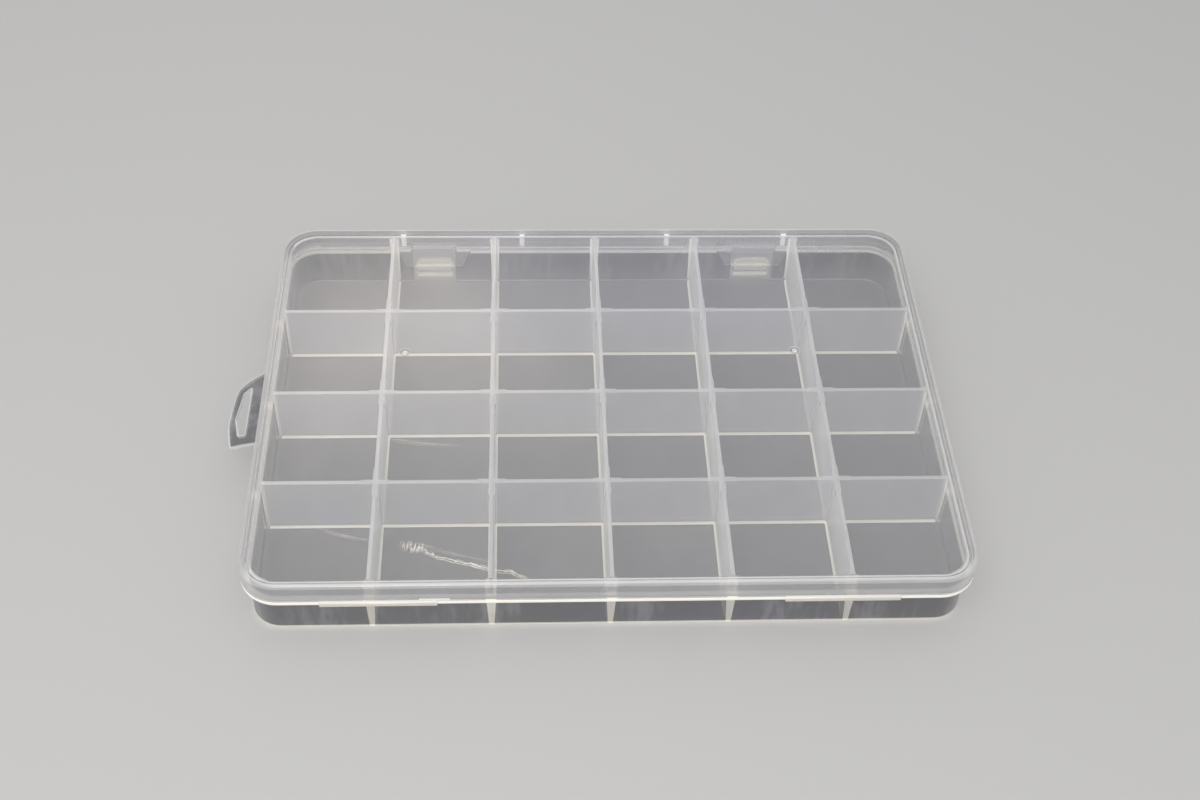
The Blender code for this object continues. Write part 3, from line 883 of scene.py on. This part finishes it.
class STORAGEBOX_OT_hang_tab(Operator):
    """Models the thin drooping hang tab with its gabled slot"""

    bl_idname = "storagebox.hang_tab"
    bl_label = "Hang Tab"

    # Outline and slot, each point as a share of the reach and a share of the half length
    OUTLINE = [
        (-0.05, 0.96), (0.13, 0.91), (0.34, 0.85), (0.52, 0.78), (0.69, 0.69), (0.83, 0.59),
        (0.90, 0.42), (0.96, 0.08), (1.00, -0.27), (1.00, -0.41), (0.94, -0.68), (0.88, -0.91),
        (0.84, -0.97), (0.78, -0.98), (0.49, -0.97), (-0.05, -0.99),
    ]
    SLOT = [(0.43, 0.56), (0.63, 0.45), (0.78, -0.24), (0.64, -0.70), (0.44, -0.71)]
    CORNER_RADIUS = 0.0004
    SLOT_CORNER_RADIUS = 0.0003
    REACH = 0.0098
    HALF_LENGTH = 0.0148
    THICKNESS = 0.0008
    EDGE = 0.00035
    DROOP = math.radians(15)
    ROOT = (-0.0979, 0, 0.01305)

    def place_points(self, shares):
        return [Vector((-reach * self.REACH, along * self.HALF_LENGTH, 0)) for reach, along in shares]

    def trace(self, name, shares):
        """A closed line of edges through the points, drawn from one point by extruding it."""
        deselect()
        points = self.place_points(shares)
        bpy.ops.mesh.primitive_plane_add(size=NEAR, location=points[0])
        line = added(name)
        edit(line, "VERT", everything)
        bpy.ops.mesh.merge(type="CENTER")
        for start, end in zip(points, points[1:]):
            bpy.ops.mesh.extrude_region_move(TRANSFORM_OT_translate={"value": end - start})
        ends = (points[0], points[-1])
        change(
            line, "VERT", lambda vert: any((vert.co - end).length < NEAR for end in ends),
            bpy.ops.mesh.edge_face_add,
        )
        return line

    def edge_distance(self, place, shares):
        """How far a place on the tab lies from the closed line through the points."""
        place = Matrix.Rotation(self.DROOP, 3, "Y") @ (place - Vector(self.ROOT))
        points = [point.xy for point in self.place_points(shares)]
        gaps = []
        for start, end in zip(points, points[1:] + points[:1]):
            run = end - start
            along = min(1.0, max(0.0, (place.xy - start).dot(run) / run.length_squared))
            gaps.append((place.xy - start - run * along).length)
        return min(gaps)

    def execute(self, context):
        tab = self.trace("hang_tab_moulding", self.OUTLINE)
        slot = self.trace("slot", self.SLOT)
        for line, radius in ((tab, self.CORNER_RADIUS), (slot, self.SLOT_CORNER_RADIUS)):
            rounding = {"offset": radius, "segments": 3, "affect": "VERTICES", "clamp_overlap": True}
            change(line, "VERT", everything, bpy.ops.mesh.bevel, **rounding)
        tab = gather([tab, slot])
        tidy_mesh(tab)
        change(tab, "EDGE", everything, bpy.ops.mesh.fill, use_beauty=True)
        extrude_faces(tab, everything, (0, 0, self.THICKNESS))
        turn_outwards(tab)
        change(tab, "FACE", lambda face: abs(face.normal.z) > 0.98, bpy.ops.mesh.inset, thickness=self.EDGE)
        tab.location = Vector(self.ROOT)
        tab.rotation_euler = (0, -self.DROOP, 0)
        tab.data.transform(Matrix.Translation((0, 0, -self.THICKNESS / 2)))
        apply_place(tab)
        across = Matrix.Rotation(-self.DROOP, 3, "Y") @ Vector((0, 0, 1))
        smooth(tab)

        def rule(place, normal):
            if abs(normal.dot(across)) < 0.98:
                return 0.62, 0.0, 0.0
            away = min(self.edge_distance(place, shares) for shares in (self.OUTLINE, self.SLOT))
            # The tab's broad faces are darkened with painted shade; their edges are milkier
            return (0.36, 0.5, 0.0) if away < self.EDGE * 0.7 else (0.0, 0.6, 0.68)

        paint_plastic(tab, rule)
        plastic = clear_plastic("tab_plastic", 120.0, (1.0, 1.0, 1.0))
        dress(tab, plastic, "base", "clear_tab", "hang_tab")
        return {"FINISHED"}


class STORAGEBOX_OT_lid(Operator):
    """Models the lid: flat panel with a round crown, skirt, centring ribs and the two moulding gates"""

    bl_idname = "storagebox.lid"
    bl_label = "Lid"

    GATES = ((-0.0574, 0.0153), (0.0574, 0.0153))
    GATE_RADIUS = 0.0017
    GATE_DEPTH = 0.00022
    NUB_RADIUS = 0.00065
    UNDER_FILLET = 0.0005
    RIB_PLACES = (-0.0604, -0.0230, 0.0230, 0.0604)
    RIB_WIDTH = 0.0015
    RIB_DEPTH = 0.0007
    RIB_EDGE = 0.00025
    TONGUE_X = -0.0462
    TONGUE_WIDTH = 0.0080
    TONGUE_Z = (0.0140, 0.0147)

    def make_gate_cutter(self, place):
        """A shallow round dish."""
        deselect()
        bpy.ops.mesh.primitive_cylinder_add(
            vertices=32, radius=self.GATE_RADIUS, depth=2 * self.GATE_DEPTH, location=(*place, LID_HIGH.z)
        )
        dish = added("gate_dish")
        bevel(dish, level_at(LID_HIGH.z - self.GATE_DEPTH), self.GATE_DEPTH * 0.9, 3)
        return dish

    def make_nub(self, place):
        """The stub that the gate leaves when it snaps off."""
        deselect()
        foot = LID_HIGH.z - self.GATE_DEPTH - BITE / 2
        top = LID_HIGH.z - NEAR
        bpy.ops.mesh.primitive_cylinder_add(
            vertices=20, radius=self.NUB_RADIUS, depth=top - foot, location=(*place, (top + foot) / 2)
        )
        nub = added("gate_nub")
        bevel(nub, level_at(top), FINE_EDGE, 2)
        return nub

    def execute(self, context):
        sizes = context.scene.storage_box_sizes
        lid = block("lid_moulding", (LID_LOW.x, -LID_HIGH.y, LID_LOW.z), (LID_HIGH.x, LID_HIGH.y, LID_HIGH.z))
        bevel(lid, is_upright, sizes.corner_radius, 16)
        bevel(lid, level_at(LID_HIGH.z), sizes.crown_radius, 5)
        under = LID_HIGH.z - sizes.lid_panel
        edit(lid, "FACE", facing((0, 0, -1)))
        bpy.ops.mesh.inset(thickness=sizes.skirt_wall)
        hollow = {"value": (0, 0, under - LID_LOW.z)}
        bpy.ops.mesh.extrude_region_move(TRANSFORM_OT_translate=hollow)
        bevel(lid, level_at(under), self.UNDER_FILLET, 3)
        bevel(lid, level_at(LID_LOW.z), SOFT_EDGE, 2)
        skirt_inside = LID_HIGH.y - sizes.skirt_wall
        for middle in self.RIB_PLACES:
            rib_y = (skirt_inside - self.RIB_DEPTH, skirt_inside + BITE)
            rib = bar("rib", middle, self.RIB_WIDTH, rib_y, (LID_LOW.z + SOFT_EDGE, under + BITE))
            bevel(rib, lambda edge: is_upright(edge) and edge.verts[0].co.y < skirt_inside, self.RIB_EDGE, 3)
            combine(lid, "UNION", rib)
        tongue_y = (-LID_HIGH.y - BITE, -LID_HIGH.y + BITE)
        tongue = bar("tongue", self.TONGUE_X, self.TONGUE_WIDTH, tongue_y, self.TONGUE_Z)
        bevel(tongue, past(-LID_HIGH.y, -1), FINE_EDGE, 2)
        combine(lid, "UNION", tongue)
        for place in self.GATES:
            combine(lid, "DIFFERENCE", self.make_gate_cutter(place))
            combine(lid, "UNION", self.make_nub(place))
        tidy_mesh(lid)
        smooth(lid)

        def gate_rule(place, level, away):
            if level > 0.99:
                on_rim = place.z > LID_HIGH.z - self.GATE_DEPTH / 2
                # Inside the dish the level faces are darkened with painted shade; its rim is milkier
                return (0.22, 0.5, 0.0) if on_rim else (0.0, 0.45, 0.35)
            return (0.8 if away < self.NUB_RADIUS + NEAR else 0.3), 0.0, 0.0

        def rule(place, normal):
            level = abs(normal.z)
            away = min(math.hypot(place.x - x, place.y - y) for x, y in self.GATES)
            if away < self.GATE_RADIUS + NEAR and place.z > under + BITE:
                return gate_rule(place, level, away)
            if place.y < -LID_HIGH.y - NEAR:
                return 0.60, 0.75, 0.0
            if level > 0.999:
                # Level faces at the foot of the skirt are darkened with painted shade
                return (0.05, 0.5, 0.2) if place.z < LID_LOW.z + BITE else (0.0, 0.0, 0.0)
            if level > 0.02:
                # Along the crown the milk eases off where it turns down; where it faces the back, extra milk
                # paints a highlight
                crown = 0.17 * min(1.0, 0.25 + 1.5 * normal.z) + 0.45 * max(0.0, normal.y)
                return (crown if place.z > under else 0.18), 0.5, 0.0
            if is_rib(place):
                return 1.0, 0.0, 0.0
            straight = max(abs(place.x) - LID_HIGH.x, abs(place.y) - LID_HIGH.y) > -NEAR
            on_outside = straight or not inside_wall(place, half_size(BITE), sizes.corner_radius - BITE)
            return 0.06, (0.62 if on_outside else 0.0), 0.0

        def is_rib(place):
            on_side = skirt_inside - self.RIB_DEPTH - SOFT_EDGE < place.y < skirt_inside - NEAR
            reach = self.RIB_WIDTH / 2 + FINE_EDGE
            return on_side and any(abs(place.x - middle) < reach for middle in self.RIB_PLACES)

        paint_plastic(lid, rule)
        # The lid's milky ribs and nubs glow more strongly: painted light
        plastic = clear_plastic(
            "lid_plastic", 14.0, (1.0, 1.4, 1.0), tint=(0.88, 0.875, 0.865), glow=0.6, gloss=1.3
        )
        dress(lid, plastic, "lid", "clear_shell", "lid")
        return {"FINISHED"}


class STORAGEBOX_OT_hinge_webs(Operator):
    """Models the two flexible webs that fold out between ledge and skirt"""

    bl_idname = "storagebox.hinge_webs"
    bl_label = "Hinge Webs"

    def execute(self, context):
        sizes = context.scene.storage_box_sizes
        plastic = clear_plastic("web_plastic", 150.0, (0.4, 1.0, 1.0), tint=(0.82, 0.78, 0.71))
        low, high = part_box("hinge_strip_left")
        middle = Vector(((low.x + high.x) / 2, -LID_HIGH.y, (low.z + high.z) / 2 - sizes.web_drop))
        reach = -LID_HIGH.y - low.y
        deselect()
        bpy.ops.mesh.primitive_plane_add(size=1, location=middle + Vector((0, 0, reach - sizes.web / 2)))
        web = bpy.context.active_object
        web.scale = (high.x - low.x, sizes.web, 1)
        web.rotation_euler = (math.radians(90), 0, 0)
        web = added("hinge_web_left")
        spin = {"steps": 12, "angle": math.pi, "center": middle, "axis": (1, 0, 0)}
        change(web, "FACE", everything, bpy.ops.mesh.spin, **spin)
        tidy_mesh(web)
        if min(vert.co.y for vert in web.data.vertices) > -LID_HIGH.y - NEAR:
            resize_points(web, everything, (1, -1, 1), middle)
        turn_outwards(web)
        resize_points(web, everything, (1, 1, sizes.web_rise / reach), middle)
        bevel(web, is_sharp_across, FINE_EDGE, 2)
        smooth(web, 40)
        twin = copy_to(web, "hinge_web_right", (0, 0, 0), (-1, 1, 1))

        def rule(place, normal):
            folded = abs(place.z - middle.z) > sizes.web_rise * 0.70
            return (0.55 if folded else 0.20), 0.75, 0.0

        for piece, node in ((web, "hinge_strip_left"), (twin, "hinge_strip_right")):
            paint_plastic(piece, rule)
            dress(piece, plastic, None, "clear_strip", node)
            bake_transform(piece)
        return {"FINISHED"}


class STORAGEBOX_OT_latches(Operator):
    """Models the two latches, each a flap with grip pad, hook and lip, and the webs that they hang from"""

    bl_idname = "storagebox.latches"
    bl_label = "Latches and Webs"

    FLAP_Y = (0.0705, 0.0714)
    FLAP_LOW_WIDTH = 0.0113
    # The grip pad is widest part way down: its widths and heights from top to foot
    PAD_WIDTHS = (0.0094, 0.0126, 0.0079)
    PAD_LEVELS = (0.0078, 0.0051, 0.0037)
    PAD_EDGE = 0.00015
    HOOK_WIDTH = 0.0106
    HOOK_Z = (0.0039, 0.0059)
    LIP_WIDTH = 0.0109
    LIP_HEIGHT = 0.0008
    LIP_TOP_Z = 0.0019
    LIP_STANDOUT = 0.0003

    def make_latch(self):
        low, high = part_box("latch_left")
        middle = (low.x + high.x) / 2
        flap_in, flap_out = self.FLAP_Y
        widths = (high.x - low.x, self.FLAP_LOW_WIDTH)
        latch = tapered_bar("latch_moulding_left", middle, *widths, self.FLAP_Y, (low.z, high.z))
        bevel(latch, is_sharp, FINE_EDGE, 2)
        pad_in = flap_in - FINE_EDGE
        top_width, full_width, foot_width = self.PAD_WIDTHS
        top, wide, foot = self.PAD_LEVELS
        pad = tapered_bar("pad", middle, top_width, full_width, (pad_in, high.y), (wide, top))
        extrude_faces(pad, facing((0, 0, -1)), (0, 0, foot - wide))
        resize_level(pad, foot, (foot_width / full_width, 1, 1), Vector((middle, 0, 0)))
        on_face = past(high.y - NEAR)
        bevel(pad, lambda edge: on_face(edge) and is_sharp(edge, 0.5), self.PAD_EDGE, 2)
        combine(latch, "UNION", pad)
        hook = bar("hook", middle, self.HOOK_WIDTH, (low.y, flap_in + BITE), self.HOOK_Z)
        bevel(hook, past(low.y + NEAR, -1), SOFT_EDGE, 2)
        combine(latch, "UNION", hook)
        lip_y = (pad_in, flap_out + self.LIP_STANDOUT)
        lip = bar("lip", middle, self.LIP_WIDTH, lip_y, (low.z + NEAR, low.z + self.LIP_HEIGHT))
        bevel(lip, past(lip_y[1] - NEAR), FINE_EDGE, 2)
        combine(latch, "UNION", lip)
        tidy_mesh(latch)
        smooth(latch)
        return latch

    def rule(self, place, normal):
        """Hook, pad and lip are thick; the flap is thin in its middle."""
        flap_in, flap_out = self.FLAP_Y
        top, _, foot = self.PAD_LEVELS
        on_pad = foot - FINE_EDGE < place.z < top + SOFT_EDGE and place.y > flap_out
        on_lip = place.z < self.LIP_TOP_Z and place.y > flap_out - FINE_EDGE
        if place.y < flap_in - FINE_EDGE / 2 or on_pad or on_lip:
            return 0.95, 0.0, 0.0
        return (0.3 if abs(normal.y) > 0.9 else 0.8), 0.0, 0.0

    def execute(self, context):
        # The latches glow a little less: painted light
        plastic = clear_plastic("latch_plastic", 160.0, (1.0, 1.0, 1.0), glow=0.19)
        latch = self.make_latch()
        strip_low, strip_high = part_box("latch_strip_left")
        lift = Vector((0, 0, BITE + BITE / 2))
        web = block("latch_web_left", strip_low - lift, strip_high + lift)
        level = {"plane_co": (strip_low + strip_high) / 2, "plane_no": (0, 0, 1)}
        change(web, "FACE", everything, bpy.ops.mesh.bisect, **level)
        bevel(web, is_sharp_across, FINE_EDGE, 2)
        change(web, "EDGE", is_upright, bpy.ops.mesh.subdivide, number_cuts=3)
        smooth(web)
        right_latch = copy_to(latch, "latch_moulding_right", (0, 0, 0), (-1, 1, 1))
        right_web = copy_to(web, "latch_web_right", (0, 0, 0), (-1, 1, 1))
        for side, piece, thin in (("left", latch, web), ("right", right_latch, right_web)):
            paint_plastic(piece, self.rule)
            dress(piece, plastic, "latch_" + side, "milky_latch", "latch_" + side)
            paint_plastic(thin, lambda place, normal: (0.5, 0.0, 0.0))
            dress(thin, plastic, None, "clear_strip", "latch_strip_" + side)
            low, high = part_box("latch_strip_" + side)
            "latch_" + side
            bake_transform(thin)
        return {"FINISHED"}


class STORAGEBOX_OT_stage(Operator):
    """Sets up the plain floor, the soft light and the camera"""

    bl_idname = "storagebox.stage"
    bl_label = "Stage"

    CAMERA_PLACE = Vector((-0.022577, -0.344682, 0.365492))
    PITCH = math.radians(45.425)
    YAW = math.radians(-3.639)
    ROLL = math.radians(2.227)
    FLOOR_SIZE = 6
    # Place, target, width and depth
    KEY = ((-0.22, -0.60, 0.95), (0, 0, 0), 0.9, 0.7)
    KEY_TINT = (1.0, 0.985, 0.96)
    # Lamps that only show as reflections: place, target, width, depth, share of the glow power, tint
    GLOWS = {
        "warm_reflection": ((-0.19, 0.79, 0.72), (-0.07, 0.03, 0.02), 0.34, 0.28, 1.0, (1, 0.88, 0.76)),
        "crown_highlight": ((-0.165, -0.85, 0.64), (-0.065, -0.072, 0.02), 0.12, 0.06, 1.7, (1, 0.84, 0.70)),
        "blue_reflection": ((0.10, 0.86, 0.66), (0.02, 0.06, 0.02), 0.40, 0.16, 0.3, (0.62, 0.68, 1)),
    }

    def add_lamp(self, name, place, target, width, depth, power, tint):
        deselect()
        bpy.ops.object.light_add(type="AREA", location=place)
        lamp = bpy.context.active_object
        lamp.name = name
        lamp.data.shape = "RECTANGLE"
        lamp.data.size = width
        lamp.data.size_y = depth
        lamp.data.energy = power
        lamp.data.color = tint
        lamp.rotation_euler = (Vector(target) - Vector(place)).to_track_quat("-Z", "Y").to_euler()
        return lamp

    def add_camera(self, lens):
        level_ahead = Vector((-math.sin(self.YAW), math.cos(self.YAW), 0))
        ahead = level_ahead * math.cos(self.PITCH) - Vector((0, 0, math.sin(self.PITCH)))
        level_right = Vector((math.cos(self.YAW), math.sin(self.YAW), 0))
        level_up = level_right.cross(ahead)
        right = math.cos(self.ROLL) * level_right + math.sin(self.ROLL) * level_up
        up = math.cos(self.ROLL) * level_up - math.sin(self.ROLL) * level_right
        turn = Matrix((right, up, -ahead)).transposed()
        deselect()
        bpy.ops.object.camera_add(location=self.CAMERA_PLACE, rotation=turn.to_euler())
        camera = bpy.context.active_object
        camera.name = "photo_camera"
        camera.data.lens = lens
        camera.data.sensor_width = 36.0
        camera.data.clip_start = 0.01
        bpy.context.scene.camera = camera

    def execute(self, context):
        stage = context.scene.storage_box_stage
        scene = context.scene
        scene.view_settings.view_transform = "Standard"
        scene.cycles.transparent_max_bounces = stage.clear_layers
        deselect()
        bpy.ops.mesh.primitive_plane_add(size=self.FLOOR_SIZE, location=(0, 0, -NEAR))
        floor = added("floor")
        paint = bpy.data.materials.new("floor_paint")
        paint.use_nodes = True
        grey = (*stage.floor_colour, 1.0)
        wire(paint.node_tree.nodes["Principled BSDF"], {"Base Color": grey, "Roughness": 0.7})
        floor.data.materials.append(paint)
        world = bpy.data.worlds.new("studio_surround")
        world.use_nodes = True
        white = (1.0, 1.0, 1.0, 1.0)
        wire(world.node_tree.nodes["Background"], {"Color": white, "Strength": stage.world_strength})
        scene.world = world
        for name, (place, target, width, depth, glow_share, tint) in self.GLOWS.items():
            lamp = self.add_lamp(name, place, target, width, depth, stage.glow_power * glow_share, tint)
            lamp.visible_diffuse = False
        self.add_lamp("key_softbox", *self.KEY, stage.key_power, self.KEY_TINT)
        self.add_camera(stage.lens)
        return {"FINISHED"}


class STORAGEBOX_PT_panel(Panel):
    """Lists the steps that model the box, with its sizes and colours"""

    bl_idname = "STORAGEBOX_PT_panel"
    bl_label = "Storage Box"
    bl_space_type = "VIEW_3D"
    bl_region_type = "UI"
    bl_category = "Storage Box"

    def draw(self, context):
        layout = self.layout
        for step in STEPS:
            layout.operator(step.bl_idname)
        scene = context.scene
        for group in (scene.storage_box_sizes, scene.storage_box_look, scene.storage_box_stage):
            column = layout.column(align=True)
            for name in group.__annotations__:
                column.prop(group, name)


STEPS = (
    STORAGEBOX_OT_finishes,
    STORAGEBOX_OT_tray,
    STORAGEBOX_OT_hang_tab,
    STORAGEBOX_OT_lid,
    STORAGEBOX_OT_hinge_webs,
    STORAGEBOX_OT_latches,
    STORAGEBOX_OT_stage,
)
CLASSES = (StorageBoxSizes, StorageBoxLook, StorageBoxStage, *STEPS, STORAGEBOX_PT_panel)


def register():
    for made in CLASSES:
        bpy.utils.register_class(made)
    bpy.types.Scene.storage_box_sizes = PointerProperty(type=StorageBoxSizes)
    bpy.types.Scene.storage_box_look = PointerProperty(type=StorageBoxLook)
    bpy.types.Scene.storage_box_stage = PointerProperty(type=StorageBoxStage)


def unregister():
    del bpy.types.Scene.storage_box_stage
    del bpy.types.Scene.storage_box_look
    del bpy.types.Scene.storage_box_sizes
    for made in reversed(CLASSES):
        bpy.utils.unregister_class(made)


def main():
    register()
    bpy.ops.storagebox.finishes()
    bpy.ops.storagebox.tray()
    bpy.ops.storagebox.hang_tab()
    bpy.ops.storagebox.lid()
    bpy.ops.storagebox.hinge_webs()
    bpy.ops.storagebox.latches()
    bpy.ops.storagebox.stage()


if __name__ == "__main__":
    main()
